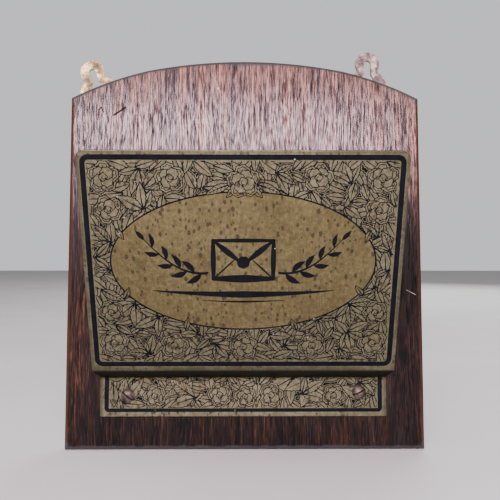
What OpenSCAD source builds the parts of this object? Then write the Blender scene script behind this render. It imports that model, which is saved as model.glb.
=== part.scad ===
// Wall letter rack: a hardwood back board with an arched top, one folded brass
// sheet that makes the letter pocket, and two brass keyhole hangers let in
// flush with the board's back.
// Millimetres. The origin is the middle of the board's back face: +X is to the
// right, -Y points out of the wall towards the user, and +Z is up.

/* [Back board] */
// Width of the board
board_w = 228; // [190:1:300]
// Height of the straight sides, from the foot to the start of the arch
side_h = 226.5; // [150:0.5:320]
// Rise of the arched top above the straight sides
arch_rise = 24.7; // [20:0.1:45]
// Thickness of the board
board_t = 9.5; // [8.5:0.5:18]
// Radius of the middle of the arched top
crown_r = 330; // [280:1:600]
// Distance from the centre line to the start of each shoulder arc
shoulder_x = 64; // [40:1:80]
// How much steeper each shoulder arc starts than the middle arc ends, in degrees
shoulder_kink = 2; // [1:0.5:3]
// Width of the chamfer round the front edges
chamfer = 2; // [0.5:0.1:3.5]

/* [Brass pocket] */
// Width of the folded sheet
sheet_w = 181; // [120:1:185]
// Thickness of the sheet
sheet_t = 1.2; // [0.8:0.1:2]
// How far the sheet sits to the right of the board's centre line
sheet_shift = -0.9; // [-3:0.1:3]
// Height of the flange's lower edge above the board's foot
flange_rise = 21; // [8:0.5:50]
// Height of the flat part of the screwed flange
flange_h = 22.8; // [16:0.5:40]
// Inside radius of both folds
bend_r = 3; // [1.5:0.1:5]
// Flat length of the sloping floor of the pocket
shelf_len = 15.3; // [6:0.5:40]
// Angle of the pocket floor above the horizontal
shelf_slope = 18; // [0:0.5:40]
// Flat length of the front plate, from the lower fold to its top edge
plate_len = 129; // [60:1:160]
// Angle of the front plate away from upright
plate_lean = 18.9; // [5:0.1:30]
// Radius of the front plate's two top corners
corner_r = 5.3; // [1:0.1:15]

/* [Flange screws] */
// Distance of each flange screw from the sheet's centre line
flange_screw_x = 73; // [20:0.5:76]
// Height of the screws' centre line above the flange's lower edge
flange_screw_z = 14.2; // [7:0.1:16]
// How much higher the right screw sits than the left one
flange_screw_step = 2.2; // [-3:0.1:3]
// Diameter of the domed head
dome_d = 8.8; // [6.5:0.1:12]
// Height of the domed head
dome_h = 2.4; // [1.5:0.1:4]
// Length of the screw under its head
flange_screw_len = 8.6; // [6:0.1:9]
// Diameter over the thread
flange_thread_d = 4.2; // [3:0.1:5]
// Turn of the left screw's slot, up to the right
left_slot_turn = -38; // [-90:1:90]
// Turn of the right screw's slot, up to the right
right_slot_turn = 25; // [-90:1:90]

/* [Hangers] */
// Thickness of the hanger plates
hanger_t = 1.6; // [1:0.1:2.5]
// Radius of the ear that stands above the board
ear_r = 8; // [6.5:0.1:12]
// Radius of the foot that is screwed behind the board
foot_r = 13.2; // [11:0.1:18]
// Distance from the ear's centre down to the foot's centre
foot_drop = 16.6; // [14:0.1:19]
// Width of the neck between ear and foot
neck_w = 14; // [12:0.1:15.5]
// Width of the slot that the wall screw's shank slides in
slot_w = 4.4; // [3:0.1:5]
// Diameter of the round hole that the wall screw's head enters
entry_d = 8; // [6.5:0.1:9]
// Distance from the slot's top centre down to the entry hole's centre
entry_drop = 10.5; // [9:0.1:12]
// Height of the left hanger's entry hole over the arch there
left_rise = 2.8; // [0:0.1:4]
// Height of the right hanger's entry hole over the arch there
right_rise = 2; // [0:0.1:4]
// Distance of the left entry hole from the board's left side
left_inset = 14.8; // [13:0.1:60]
// Distance of the right entry hole from the board's right side
right_inset = 31.9; // [13:0.1:60]
// Lean of the left hanger, top to the left
left_lean = 18; // [-5:0.5:30]
// Lean of the right hanger, top to the left
right_lean = -1; // [-30:0.5:5]
// Depth of the hollow in front of each entry hole that clears the wall screw's head
relief_depth = 3; // [0.5:0.5:4]

/* [Hanger screws] */
// Distance between the two screws of one hanger
hanger_screw_gap = 14; // [11:0.1:15]
// How far the screws sit below the foot's centre
hanger_screw_drop = 3.9; // [3:0.1:6]
// Diameter of the countersunk head
csk_d = 5.6; // [4.6:0.1:6]
// Depth of the countersink
csk_h = 1.4; // [0.8:0.1:1.5]
// Length of the screw over all
hanger_screw_len = 8; // [5:0.5:8.5]
// Diameter over the thread
hanger_thread_d = 2.8; // [2:0.1:3]

/* [Fits] */
// Clearance round a shank in a drilled brass hole, each side
hole_gap = 0.3; // [0.1:0.05:0.6]
// Clearance under a countersunk head, each side
csk_gap = 0.05; // [0.02:0.01:0.2]
// Clearance round a screw's core in its pilot hole, each side
pilot_gap = 0.1; // [0.05:0.05:0.2]
// Clearance round a hanger in the recess that it is let into, each side
recess_gap = 0.2; // [0.05:0.05:0.5]
// Clearance round a wall screw's head in the hollow in front of it, each side
relief_gap = 1; // [0.5:0.1:2]

/* [Hidden] */
$fn = 96;
// Facets of the long arcs, which are true arcs in the solid
ARC_FN = 360;
// Overshoot of a cutting tool past the face that it cuts
CUT = 1;
// Flat steps in each fold of the sheet
FOLD_STEPS = 12;

// The arch: a middle arc, and a shoulder arc on each side that runs from the
// middle arc at shoulder_x to the top of the straight side
board_h = side_h + arch_rise;
crown_y = board_h - crown_r;
shoulder_in = [shoulder_x, crown_y + sqrt(pow(crown_r, 2) - pow(shoulder_x, 2))];
shoulder_chord = [board_w / 2, side_h] - shoulder_in;
chord_len = norm(shoulder_chord);
chord_slope = atan2(-shoulder_chord[1], shoulder_chord[0]);
half_turn = chord_slope - asin(shoulder_x / crown_r) - shoulder_kink;
shoulder_r = chord_len / (2 * sin(half_turn));
shoulder_mid = shoulder_in + shoulder_chord / 2
    + chord_len / (2 * tan(half_turn)) * [shoulder_chord[1], -shoulder_chord[0]] / chord_len;

// Height of the board's top edge at a distance x from the centre line
function arch_y(x) = min(
    crown_y + sqrt(pow(crown_r, 2) - pow(x, 2)),
    shoulder_mid[1] + sqrt(pow(shoulder_r, 2) - pow(abs(x) - shoulder_mid[0], 2)));

// The sheet's path seen from its left end, as [distance out, height above the
// foot]. heading() and across() are the directions along and square to a leg.
function heading(a) = [cos(a), sin(a)];
function across(a) = [-sin(a), cos(a)];
bend_mid = bend_r + sheet_t / 2;
plate_angle = 90 - plate_lean;
upper_bend = [sheet_t + bend_r, flange_rise + flange_h];
shelf_start = upper_bend + bend_mid * across(shelf_slope);
lower_bend = shelf_start + shelf_len * heading(shelf_slope) + bend_mid * across(shelf_slope);
plate_start = lower_bend - bend_mid * across(plate_angle);

// Screw cores and threads
THREAD_BITE = 0.45;
THREAD_PITCH = 1.4;
SLOT_CUT_W = 1.1;
flange_core_r = flange_thread_d / 2 - THREAD_BITE;
hanger_core_r = hanger_thread_d / 2 - THREAD_BITE;

// ---- places ----------------------------------------------------------------

// Front view: x to the right, y up from the board's foot, z out from its back
module front_view() {
    translate([0, 0, -board_h / 2]) rotate([90, 0, 0]) children();
}

// The middle of the left (-1) or right (1) flange screw, on the flange's face
module at_flange_screw(side) {
    translate([sheet_shift + side * flange_screw_x,
        flange_rise + flange_screw_z + side * flange_screw_step / 2,
        board_t + sheet_t]) children();
}

// A hanger's own view: the slot's top centre is at zero, the foot hangs down
module at_hanger(side) {
    inset = side < 0 ? left_inset : right_inset;
    rise = side < 0 ? left_rise : right_rise;
    lean = side < 0 ? left_lean : right_lean;
    entry_x = side * (board_w / 2 - inset);
    translate([entry_x, arch_y(entry_x) + rise, 0])
        rotate([0, 0, lean])
            translate([0, entry_drop, 0]) children();
}

// The middle of one hanger screw, on the hanger's wall side
module at_hanger_screw(side, hand) {
    at_hanger(side)
        translate([hand * hanger_screw_gap / 2, -foot_drop - hanger_screw_drop, 0])
            children();
}

// A hanger's outline without its keyhole, grown by a clearance all round
module hanger_blank(grow) {
    circle(ear_r + grow);
    translate([0, -foot_drop]) circle(foot_r + grow);
    translate([-neck_w / 2 - grow, -foot_drop])
        square([neck_w + 2 * grow, foot_drop - ear_r / 2]);
}

// ---- screws ----------------------------------------------------------------

// A wood screw's threaded shank along +Z: ridges round a core, and a point
module threaded_shank(len, thread_r, core_r) {
    point_len = 2 * core_r;
    turns = floor((len - point_len) / THREAD_PITCH);
    thread_start = len - point_len - turns * THREAD_PITCH;
    rotate_extrude()
        polygon(concat(
            [[0, 0], [core_r, 0], [core_r, thread_start]],
            [for (i = [0 : turns - 1]) for (step = [0, 1])
                [step == 0 ? thread_r : core_r,
                    thread_start + (i + (step == 0 ? 0.5 : 1)) * THREAD_PITCH]],
            [[0, len]]));
}

module flange_screw(side, slot_turn) {
    dome_r = (pow(dome_d / 2, 2) + pow(dome_h, 2)) / (2 * dome_h);
    color("saddlebrown") front_view() at_flange_screw(side) {
        difference() {
            intersection() {
                translate([0, 0, dome_h - dome_r]) sphere(dome_r);
                cylinder(h = dome_h + CUT, r = dome_d);
            }
            rotate([0, 0, slot_turn])
                translate([-dome_d, -SLOT_CUT_W / 2, dome_h / 2]) cube([2 * dome_d, SLOT_CUT_W, dome_h]);
        }
        mirror([0, 0, 1]) threaded_shank(flange_screw_len, flange_thread_d / 2, flange_core_r);
    }
}

module hanger_screw(side, hand) {
    color("dimgray") front_view() at_hanger_screw(side, hand) {
        difference() {
            cylinder(h = csk_h, r1 = csk_d / 2 - csk_gap, r2 = hanger_thread_d / 2 - csk_gap);
            translate([-csk_d, -SLOT_CUT_W / 2, -CUT]) cube([2 * csk_d, SLOT_CUT_W, CUT + csk_h / 2]);
        }
        translate([0, 0, csk_h])
            threaded_shank(hanger_screw_len - csk_h, hanger_thread_d / 2 - csk_gap, hanger_core_r);
    }
}

// ---- back board --------------------------------------------------------------

// A disc with its front edge chamfered. It runs CUT past the board's two faces.
module chamfered_disc(r) {
    edge_z = board_t - chamfer;
    translate([0, 0, -CUT]) cylinder(h = edge_z + CUT, r = r, $fn = ARC_FN);
    translate([0, 0, edge_z])
        cylinder(h = chamfer + CUT, r1 = r, r2 = r - chamfer - CUT, $fn = ARC_FN);
}

// What is sawn off one shoulder, outside its arc
module shoulder_waste(side) {
    overlap = 10;
    mirror([side < 0 ? 1 : 0, 0, 0]) difference() {
        translate([shoulder_x - overlap, side_h - 2 * overlap, -CUT])
            cube([board_w / 2 - shoulder_x + overlap + CUT, arch_rise + 3 * overlap, board_t + 2 * CUT]);
        translate([shoulder_mid[0], shoulder_mid[1], 0]) chamfered_disc(shoulder_r);
    }
}

// The plank before its top is arched, chamfered along its sides and its foot
module plank() {
    edge_z = board_t - chamfer;
    half_w = board_w / 2;
    intersection() {
        mirror([0, 1, 0]) rotate([90, 0, 0]) linear_extrude(board_h + CUT)
            polygon([[-half_w, 0], [half_w, 0], [half_w, edge_z], [half_w - chamfer, board_t],
                [chamfer - half_w, board_t], [-half_w, edge_z]]);
        rotate([90, 0, 90]) linear_extrude(2 * board_w, center = true)
            polygon([[0, 0], [2 * board_h, 0], [2 * board_h, board_t], [chamfer, board_t], [0, edge_z]]);
    }
}

// The sawn and chamfered board before it is drilled
module board_blank() {
    difference() {
        intersection() {
            plank();
            translate([0, crown_y, 0]) chamfered_disc(crown_r);
        }
        for (side = [-1, 1]) shoulder_waste(side);
    }
}

module back_board() {
    color("#4b2a1c") front_view() difference() {
        board_blank();

        // pilot holes for the flange screws, drilled from the front
        for (side = [-1, 1])
            at_flange_screw(side) mirror([0, 0, 1])
                cylinder(h = flange_screw_len, r = flange_core_r + pilot_gap);

        // from the back: hanger recesses, hollows for the wall screws' heads, and
        // pilot holes for the hanger screws
        for (side = [-1, 1]) {
            at_hanger(side) translate([0, 0, -CUT])
                linear_extrude(hanger_t + CUT) hanger_blank(recess_gap);
            at_hanger(side) translate([0, -entry_drop, -CUT])
                cylinder(h = hanger_t + relief_depth + CUT, r = entry_d / 2 + relief_gap);
            for (hand = [-1, 1])
                at_hanger_screw(side, hand) cylinder(h = hanger_screw_len, r = hanger_core_r + pilot_gap);
        }
    }
}

// ---- brass pocket -------------------------------------------------------------

// Points round one fold, at a radius from its centre, between two angles
function fold_points(centre, r, from, to) =
    [for (i = [0 : FOLD_STEPS]) centre + r * heading(from + (to - from) * i / FOLD_STEPS)];

// One face of the sheet from the flange's foot to the plate's top edge. The
// face on the board side goes round the upper fold at the larger radius.
function sheet_face(is_board_side) =
    let (upper_r = bend_r + (is_board_side ? sheet_t : 0),
        lower_r = bend_r + (is_board_side ? 0 : sheet_t),
        shift = (is_board_side ? 0.5 : -0.5) * sheet_t)
    concat(
        [[is_board_side ? 0 : sheet_t, flange_rise]],
        fold_points(upper_bend, upper_r, 180, 90 + shelf_slope),
        fold_points(lower_bend, lower_r, shelf_slope - 90, plate_angle - 90),
        [plate_start + plate_len * heading(plate_angle) + shift * across(plate_angle)]);

function reversed(list) = [for (i = [len(list) - 1 : -1 : 0]) list[i]];

module brass_pocket() {
    color("#8b7a4c") front_view() difference() {
        translate([sheet_shift, 0, board_t]) difference() {
            rotate([0, -90, 0]) linear_extrude(sheet_w, center = true)
                polygon(concat(sheet_face(false), reversed(sheet_face(true))));

            // rounded top corners of the front plate
            translate([0, plate_start[1], plate_start[0]]) rotate([plate_lean, 0, 0])
                for (side = [-1, 1])
                    translate([side * (sheet_w / 2 - corner_r), plate_len - corner_r, -sheet_t])
                        linear_extrude(2 * sheet_t) difference() {
                            translate([side < 0 ? -corner_r - CUT : 0, 0]) square(corner_r + CUT);
                            circle(corner_r);
                        }
        }
        for (side = [-1, 1])
            at_flange_screw(side) translate([0, 0, -sheet_t - CUT])
                cylinder(h = sheet_t + 2 * CUT, r = flange_thread_d / 2 + hole_gap);
    }
}

// ---- hangers --------------------------------------------------------------------

module hanger_outline() {
    difference() {
        hanger_blank(0);
        circle(slot_w / 2);
        translate([-slot_w / 2, -entry_drop]) square([slot_w, entry_drop]);
        translate([0, -entry_drop]) circle(entry_d / 2);
    }
}

module hanger(side) {
    color("#b09a7a") front_view() difference() {
        at_hanger(side) linear_extrude(hanger_t) hanger_outline();
        for (hand = [-1, 1])
            at_hanger_screw(side, hand) {
                cylinder(h = csk_h, r1 = csk_d / 2, r2 = hanger_thread_d / 2);
                translate([0, 0, csk_h / 2]) cylinder(h = hanger_t, r = hanger_thread_d / 2);
            }
    }
}

// ---- the assembly ---------------------------------------------------------------

back_board();
brass_pocket();
flange_screw(-1, left_slot_turn);  // flange_screw_left
flange_screw(1, right_slot_turn);  // flange_screw_right
hanger(-1);  // hanger_left
hanger(1);  // hanger_right
hanger_screw(-1, -1);  // hanger_screw_left_outer
hanger_screw(-1, 1);  // hanger_screw_left_inner
hanger_screw(1, -1);  // hanger_screw_right_inner
hanger_screw(1, 1);  // hanger_screw_right_outer
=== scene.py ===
import math
import bmesh
import bpy
import numpy as np
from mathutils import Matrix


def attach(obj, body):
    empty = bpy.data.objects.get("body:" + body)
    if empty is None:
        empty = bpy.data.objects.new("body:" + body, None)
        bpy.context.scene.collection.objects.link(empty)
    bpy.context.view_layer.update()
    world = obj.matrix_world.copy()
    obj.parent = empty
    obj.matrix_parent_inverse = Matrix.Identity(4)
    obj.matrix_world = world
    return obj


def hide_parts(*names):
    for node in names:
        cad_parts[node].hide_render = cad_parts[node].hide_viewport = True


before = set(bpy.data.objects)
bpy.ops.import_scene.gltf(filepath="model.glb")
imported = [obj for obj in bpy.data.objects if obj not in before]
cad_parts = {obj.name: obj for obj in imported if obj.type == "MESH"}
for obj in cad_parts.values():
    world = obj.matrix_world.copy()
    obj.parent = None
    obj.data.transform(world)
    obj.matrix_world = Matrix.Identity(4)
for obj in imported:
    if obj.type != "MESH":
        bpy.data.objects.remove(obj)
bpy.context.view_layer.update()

MM = 0.001


# ---- Where it stands -------------------------------------------------------
# The rack leans back a little on a pale table, with the camera close in front.
# A wide soft lamp stands in front of it and above, and weaker ones stand at the
# upper left and behind.
LEAN_BACK = math.radians(3.5)
BOARD_HEIGHT = 251.2 * MM
TABLE_REACH = 3.0
FOCAL_LENGTH = 39.02
SENSOR_WIDTH = 36.0
CAMERA_PLACE = (0.38 * MM, -358.02 * MM, -20.71 * MM)
CAMERA_TILT = math.radians(3.515)
CAMERA_TURN = math.radians(-0.462)


def give(tree, node, sockets):
    """Sets a node's sockets. A value may be another node's output, which is then joined to the socket."""
    for name, value in sockets.items():
        if isinstance(value, bpy.types.NodeSocket):
            tree.links.new(value, node.inputs[name])
        else:
            node.inputs[name].default_value = value


def add(tree, kind, sockets=None, **settings):
    """Adds a shader node with its settings and its sockets."""
    node = tree.nodes.new(kind)
    for name, value in settings.items():
        setattr(node, name, value)
    give(tree, node, sockets or {})
    return node


def paint(red, green, blue):
    """A colour from its 0 to 255 display values, as the linear light that shaders use."""
    display = np.array([red, green, blue]) / 255
    linear = np.where(display <= 0.04045, display / 12.92, ((display + 0.055) / 1.055) ** 2.4)
    return (*linear.tolist(), 1.0)


def ramp(tree, value, *stops):
    """A run of colours along a value from 0 to 1."""
    node = add(tree, "ShaderNodeValToRGB", {"Fac": value})
    elements = node.color_ramp.elements
    for index, (place, colour) in enumerate(stops):
        element = elements[index] if index < 2 else elements.new(place)
        element.position = place
        element.color = colour
    return node.outputs["Color"]


def spread(tree, value, low, high, to_low=0.0, to_high=1.0):
    """Carries the range low to high over to another one, with soft ends and no overshoot."""
    return add(tree, "ShaderNodeMapRange",
               {"Value": value, "From Min": low, "From Max": high, "To Min": to_low, "To Max": to_high},
               interpolation_type="SMOOTHSTEP").outputs[0]


def noise(tree, vector, scale, detail=2.0, roughness=0.5, distortion=0.0):
    """A cloudy value from 0 to 1. The scale counts the clouds in a metre."""
    return add(tree, "ShaderNodeTexNoise",
               {"Vector": vector, "Scale": scale, "Detail": detail, "Roughness": roughness,
                "Distortion": distortion}).outputs["Fac"]


def placed(tree, scale=(1, 1, 1), location=(0, 0, 0)):
    """The piece's own coordinates in metres, stretched and shifted."""
    coordinates = add(tree, "ShaderNodeTexCoord").outputs["Object"]
    return add(tree, "ShaderNodeMapping",
               {"Vector": coordinates, "Scale": scale, "Location": location}).outputs["Vector"]


def new_material(name):
    """An empty material: its node tree and its one Principled shader."""
    material = bpy.data.materials.new(name)
    material.use_nodes = True
    tree = material.node_tree
    tree.nodes.clear()
    shader = add(tree, "ShaderNodeBsdfPrincipled")
    add(tree, "ShaderNodeOutputMaterial", {"Surface": shader.outputs["BSDF"]})
    return material, tree, shader


def new_mesh(name, points, faces, material, smooth=True):
    """A mesh object at the origin, from points in metres and faces that list them."""
    mesh = bpy.data.meshes.new(name)
    mesh.from_pydata(points.tolist(), [], faces)
    mesh.polygons.foreach_set("use_smooth", np.full(len(mesh.polygons), smooth))
    mesh.materials.append(material)
    mesh.update()
    piece = bpy.data.objects.new(name, mesh)
    bpy.context.scene.collection.objects.link(piece)
    return piece


lens = bpy.data.cameras.new("camera")
lens.lens = FOCAL_LENGTH
lens.sensor_width = SENSOR_WIDTH
lens.clip_start = 10 * MM
camera = bpy.data.objects.new("camera", lens)
camera.location = CAMERA_PLACE
camera.rotation_euler = (math.radians(90) + CAMERA_TILT, 0, CAMERA_TURN)
bpy.context.scene.collection.objects.link(camera)
bpy.context.scene.camera = camera

pale_table, tree, shader = new_material("pale_table")
table_cloud = noise(tree, placed(tree), 9.0, 3.0)
table_colour = ramp(tree, table_cloud, (0.3, paint(214, 213, 210)), (0.7, paint(222, 221, 219)))
give(tree, shader, {"Base Color": table_colour, "Roughness": 0.7})

table_corners = TABLE_REACH * np.array([[-1, -1], [1, -1], [1, 1], [-1, 1]])
table_height = table_corners[:, 1] * math.tan(LEAN_BACK) - BOARD_HEIGHT / 2
table = new_mesh("table", np.column_stack([table_corners, table_height]), [[0, 1, 2, 3]],
                 pale_table, smooth=False)


def soft_lamp(name, place, aim, width, height, watts, colour):
    """A flat soft lamp at a place, turned to face a point."""
    data = bpy.data.lights.new(name, "AREA")
    data.shape = "RECTANGLE"
    data.size = width
    data.size_y = height
    data.energy = watts
    data.color = colour
    lamp = bpy.data.objects.new(name, data)
    lamp.location = place
    way = np.array(aim) - np.array(place)
    lamp.rotation_euler = (
        math.acos(-way[2] / np.linalg.norm(way)), 0, math.atan2(-way[0], way[1]))
    bpy.context.scene.collection.objects.link(lamp)


soft_lamp("lamp_front", (-0.08, -1.25, 0.43), (0, 0, 0.02), 1.1, 0.20, 40, (1.0, 0.82, 0.94))
soft_lamp("lamp_top", (-0.5, -0.35, 1.1), (0, 0, 0), 1.0, 0.8, 5, (1.0, 0.99, 0.97))
soft_lamp("lamp_back", (0.7, 1.3, 0.8), (0, 0, 0), 1.2, 1.0, 16, (1.0, 1.0, 1.0))

room = bpy.data.worlds.new("room")
room.use_nodes = True
tree = room.node_tree
seen = add(tree, "ShaderNodeLightPath").outputs["Is Camera Ray"]
give(tree, tree.nodes["Background"],
     {"Color": paint(228, 228, 232), "Strength": spread(tree, seen, 0.0, 1.0, 0.42, 0.95)})
bpy.context.scene.world = room


# ---- Back board ------------------------------------------------------------
# One piece of dark stained oak with an upright, open grain. Its top is sawn to
# an arch, its front edges are chamfered, and it is waxed to a patchy gloss.
CROWN_RISE = 24.7 * MM
CROWN_RADIUS = 330 * MM
SHOULDER_X = 64 * MM
SHOULDER_KINK = math.radians(2)
BOARD_WIDTH = 228 * MM
BOARD_EDGE_ROUNDING = 0.35 * MM
SCRATCH_FADE = 0.25 * MM
SCRATCH_RAGGEDNESS = 0.6 * MM


def cad_copy(node, name, rounding, material):
    """A merged copy of a CAD node, its flat areas joined, with its sharp edges rounded."""
    shape = bmesh.new()
    shape.from_mesh(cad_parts[node].data)
    bmesh.ops.remove_doubles(shape, verts=shape.verts, dist=0.002 * MM)
    bmesh.ops.dissolve_limit(shape, angle_limit=math.radians(0.2), verts=shape.verts, edges=shape.edges)
    mesh = bpy.data.meshes.new(name)
    shape.to_mesh(mesh)
    shape.free()
    mesh.materials.clear()
    mesh.materials.append(material)
    mesh.polygons.foreach_set("use_smooth", np.full(len(mesh.polygons), True))
    mesh.polygons.foreach_set("material_index", np.zeros(len(mesh.polygons), int))
    piece = bpy.data.objects.new(name, mesh)
    bpy.context.scene.collection.objects.link(piece)
    bevel = piece.modifiers.new("rounding", "BEVEL")
    bevel.width = rounding
    bevel.segments = 2
    bevel.limit_method = "ANGLE"
    bevel.angle_limit = math.radians(28)
    weights = piece.modifiers.new("flat_shading", "WEIGHTED_NORMAL")
    weights.weight = 100
    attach(piece, "root")
    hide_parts(node)
    return piece


def mixed(tree, amount, first, second, way="MIX"):
    """Two colours mixed, or one multiplied by the other."""
    return add(tree, "ShaderNodeMix", {0: amount, 6: first, 7: second},
               data_type="RGBA", blend_type=way).outputs[2]


def sums(tree, operation, *values):
    """One step of arithmetic on plain values."""
    return add(tree, "ShaderNodeMath", dict(enumerate(values)), operation=operation).outputs[0]


def times(tree, first, *others):
    """The product of plain values."""
    for other in others:
        first = sums(tree, "MULTIPLY", first, other)
    return first


def weighed(tree, value, weight, base):
    """A value times its weight, on top of a base."""
    return sums(tree, "MULTIPLY_ADD", value, weight, base)


def distance(tree, sideways, up):
    """The straight distance: the root of the sum of both squares."""
    return sums(tree, "SQRT", weighed(tree, sideways, sideways, times(tree, up, up)))


def facing(tree, axis):
    """How far the surface faces along an axis, from -1 to 1."""
    normal = add(tree, "ShaderNodeNewGeometry").outputs["Normal"]
    return add(tree, "ShaderNodeSeparateXYZ", {"Vector": normal}).outputs[axis]


def bumped(tree, height, strength, depth):
    """The normal of a surface that a height from 0 to 1 makes uneven."""
    return add(tree, "ShaderNodeBump",
               {"Height": height, "Strength": strength, "Distance": depth}).outputs["Normal"]


def add_group(name, numbers, results):
    """An empty node group that takes places and numbers: its tree, what it is given and its last node."""
    group = bpy.data.node_groups.new(name, "ShaderNodeTree")
    group.interface.new_socket("Vector", in_out="INPUT", socket_type="NodeSocketVector")
    for way, sockets in (("INPUT", numbers), ("OUTPUT", results)):
        for socket in sockets:
            group.interface.new_socket(socket, in_out=way, socket_type="NodeSocketFloat")
    return group, group.nodes.new("NodeGroupInput").outputs, group.nodes.new("NodeGroupOutput")


# White flecks of dust and plaster: a few cells of a cell pattern hold one dot each
dust_flecks, given, last_node = add_group("dust_flecks", ("Scale", "Size", "Share"), ("Mask",))
cells = add(dust_flecks, "ShaderNodeTexVoronoi",
            {"Vector": given["Vector"], "Scale": given["Scale"]}).outputs
pick = add(dust_flecks, "ShaderNodeSeparateColor", {"Color": cells["Color"]}).outputs
held = sums(dust_flecks, "LESS_THAN", pick["Red"], given["Share"])
dot = sums(dust_flecks, "LESS_THAN", cells["Distance"], times(dust_flecks, given["Size"], pick["Green"]))
give(dust_flecks, last_node, {"Mask": times(dust_flecks, held, dot)})


def grouped(tree, group, sockets):
    """A node group placed in a material, with its own values."""
    return add(tree, "ShaderNodeGroup", sockets, node_tree=group).outputs


dark_oak, tree, shader = new_material("dark_oak")
straight = placed(tree)
place = add(tree, "ShaderNodeSeparateXYZ", {"Vector": straight}).outputs

# The grain wanders a little sideways as it runs up the board
wander = noise(tree, placed(tree, (1, 0.4, 0.22)), 45.0, 2.0)
grain_x = sums(tree, "ADD", place["X"], weighed(tree, wander, 0.007, -0.0035))
grain = add(tree, "ShaderNodeCombineXYZ", {"X": grain_x, "Y": place["Y"], "Z": place["Z"]}).outputs[0]


def along_grain(shrink_y, shrink_z, shift=0.0):
    """Grain coordinates, shrunk along the thickness and the height so that marks come out long."""
    return add(tree, "ShaderNodeMapping",
               {"Vector": grain, "Scale": (1, shrink_y, shrink_z), "Location": (shift, shift, shift)}
               ).outputs["Vector"]


bands = noise(tree, along_grain(0.5, 0.014), 330.0, 2.0, 0.6)
streaks = noise(tree, along_grain(0.7, 0.045, 3.1), 900.0, 3.0, 0.7)
fine_streaks = noise(tree, along_grain(0.8, 0.085, 7.7), 1700.0, 2.0, 0.6)
tone = 0.0
for marks, weight in ((bands, 0.30), (streaks, 0.46), (fine_streaks, 0.30)):
    tone = weighed(tree, marks, weight, tone)
wood = ramp(tree, tone,
            (0.43, paint(12, 7, 5)), (0.50, paint(26, 14, 9)), (0.56, paint(46, 25, 14)),
            (0.61, paint(74, 43, 24)), (0.69, paint(110, 70, 38)))

# Open pores, dark at the bottom and in places grey with old wax and dust
pores = spread(tree, noise(tree, along_grain(0.8, 0.06, 12.3), 1250.0, 1.0, 0.4), 0.44, 0.34)
pore_fill = noise(tree, along_grain(1.0, 0.25, 21.9), 60.0, 2.0)
pore_colour = ramp(tree, pore_fill, (0.45, paint(10, 6, 6)), (0.65, paint(46, 41, 43)))
wood = mixed(tree, pores, wood, pore_colour)

# The back was left unpolished, and marks are only on the front
facing_y = facing(tree, "Y")
is_front = spread(tree, facing_y, -0.5, -0.8)
is_back = spread(tree, facing_y, 0.5, 0.8)
not_back = sums(tree, "SUBTRACT", 1.0, is_back)
wood = mixed(tree, times(tree, is_back, 0.55), wood, paint(62, 44, 31))

# The upper part is painted a lighter pinkish brown: a painted sheen standing in for the lamp's glare on the
# wax
sheen_colour = ramp(tree, tone,
             (0.45, paint(38, 27, 32)), (0.54, paint(100, 65, 54)), (0.64, paint(164, 108, 82)))
sheen_colour = mixed(tree, times(tree, pores, 0.7), sheen_colour, pore_colour)
sheen_share = spread(tree, weighed(tree, bands, 0.05, place["Z"]), 0.030, 0.095, 0.0, 0.85)
wood = mixed(tree, times(tree, sheen_share, not_back), wood, sheen_colour)

# The foot, and the right side below the arch, are darker than the rest
darker_foot = spread(tree, place["Z"], -0.070, -0.115)
darker_right = times(tree, spread(tree, place["X"], 0.082, 0.096), spread(tree, place["Z"], 0.050, 0.0))
darkening_noise = noise(tree, placed(tree, (1, 1, 0.3)), 30.0, 2.0)
darkening = times(tree, sums(tree, "MAXIMUM", darker_foot, darker_right),
              spread(tree, darkening_noise, 0.2, 0.7, 0.55, 0.95))
wood = mixed(tree, darkening, wood, mixed(tree, 1.0, wood, paint(128, 122, 124), "MULTIPLY"))

# Distance in from the sides, from the foot and from the arch, for wear at the edges and for a painted
# reflection on the end chamfers
side_gap = sums(tree, "SUBTRACT", BOARD_WIDTH / 2, sums(tree, "ABSOLUTE", place["X"]))
foot_gap = sums(tree, "ADD", place["Z"], BOARD_HEIGHT / 2)


def arc_gap(radius, centre_x, centre_z):
    """Distance in from an arc, the same on the left and on the right."""
    from_x = sums(tree, "SUBTRACT", sums(tree, "ABSOLUTE", place["X"]), centre_x)
    from_z = sums(tree, "SUBTRACT", place["Z"], centre_z)
    return sums(tree, "SUBTRACT", radius, distance(tree, from_x, from_z))


# The arch is one wide arc over the crown, which turns by a slight kink into a tighter arc on each shoulder
crown_centre = BOARD_HEIGHT / 2 - CROWN_RADIUS
shoulder_start = np.array([SHOULDER_X, crown_centre + math.sqrt(CROWN_RADIUS ** 2 - SHOULDER_X ** 2)])
shoulder_run = np.array([BOARD_WIDTH / 2, BOARD_HEIGHT / 2 - CROWN_RISE]) - shoulder_start
crown_slope = math.asin(SHOULDER_X / CROWN_RADIUS)
half_turn = math.atan2(-shoulder_run[1], shoulder_run[0]) - crown_slope - SHOULDER_KINK
shoulder_radius = math.hypot(*shoulder_run) / (2 * math.sin(half_turn))
shoulder_centre = (shoulder_start + shoulder_run / 2
                   + np.array([shoulder_run[1], -shoulder_run[0]]) / (2 * math.tan(half_turn)))
arch_gap = sums(tree, "MINIMUM", arc_gap(CROWN_RADIUS, 0.0, crown_centre),
                arc_gap(shoulder_radius, *shoulder_centre.tolist()))
end_gap = sums(tree, "MINIMUM", foot_gap, arch_gap)
edge_gap = sums(tree, "MINIMUM", side_gap, end_gap)
edge_noise = noise(tree, straight, 140.0, 4.0, 0.7)
edge_wear = spread(tree, weighed(tree, edge_noise, 0.003, edge_gap), 0.0048, 0.0030)
# Worn edges go brown on the sides; at the foot and on the arch they are grey, a painted reflection on
# chamfers facing up and down
worn_edge_and_reflection_colour = mixed(tree, spread(tree, end_gap, 0.006, 0.004), paint(62, 38, 24), paint(58, 57, 57))
wood = mixed(tree, times(tree, edge_wear, 0.92), wood, worn_edge_and_reflection_colour)


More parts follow.
